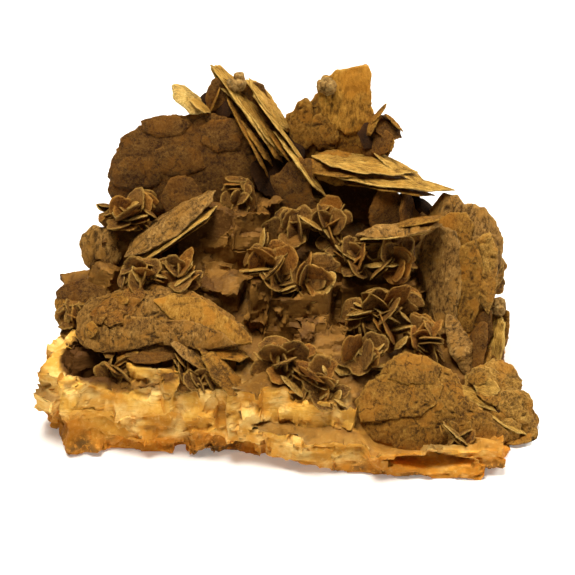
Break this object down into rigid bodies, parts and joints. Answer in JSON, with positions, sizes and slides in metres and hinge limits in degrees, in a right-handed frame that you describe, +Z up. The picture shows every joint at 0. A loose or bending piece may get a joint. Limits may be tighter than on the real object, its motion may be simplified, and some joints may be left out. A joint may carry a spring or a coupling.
{
  "type": "siderite mineral specimen",
  "caption": "Hand-sized mineral specimen: brown lens-shaped siderite blades and rosettes of thin plates standing on a pale blocky rock matrix with a flat underside.",
  "frame": {"origin": "centre of the bounding box's underside, on the flat underside of the matrix", "axes": "+X along the longest side to the viewer's right, -Y towards the viewer, +Z up"},
  "size_m": [0.0988, 0.0657, 0.0602],
  "materials": {
    "matrix_stone": "pale yellow blocky cleavage crystals, stained orange-brown low down and in the hollows, broken and granular at the foot",
    "blade_siderite": "dark golden brown, finely granular with overlapping scales, short dark cracks and yellow-orange rims",
    "rosette_siderite": "thin golden brown plates with pale yellow edges, dark between the plates"
  },
  "bodies": {
    "root": {"back_left_blade": "blade_siderite", "back_right_blade": "blade_siderite", "back_rosette": "rosette_siderite", "cavity_rosette": "rosette_siderite", "centre_rosette": "rosette_siderite", "diagonal_blade": "blade_siderite", "front_left_blades": "blade_siderite", "front_left_rosette": "rosette_siderite", "front_rosette": "rosette_siderite", "half_disc_blade": "blade_siderite", "hanging_blades": "blade_siderite", "horseshoe_rosette": "rosette_siderite", "left_cap_blades": "blade_siderite", "left_disc_blade": "blade_siderite", "left_edge_rosette": "rosette_siderite", "left_rosette": "rosette_siderite", "lower_right_blade": "blade_siderite", "lower_right_rosette": "rosette_siderite", "matrix": "matrix_stone", "mid_shelf_blade": "blade_siderite", "petal_rosette": "rosette_siderite", "right_blades": "blade_siderite", "right_corner_blades": "blade_siderite", "right_rosette": "rosette_siderite", "right_side_rosette": "rosette_siderite", "shelf_blades": "blade_siderite", "steep_blades": "blade_siderite", "upper_centre_rosette": "rosette_siderite", "upper_left_blade": "blade_siderite", "upper_left_rosette": "rosette_siderite", "upper_right_blade": "blade_siderite"}
  },
  "joints": []
}
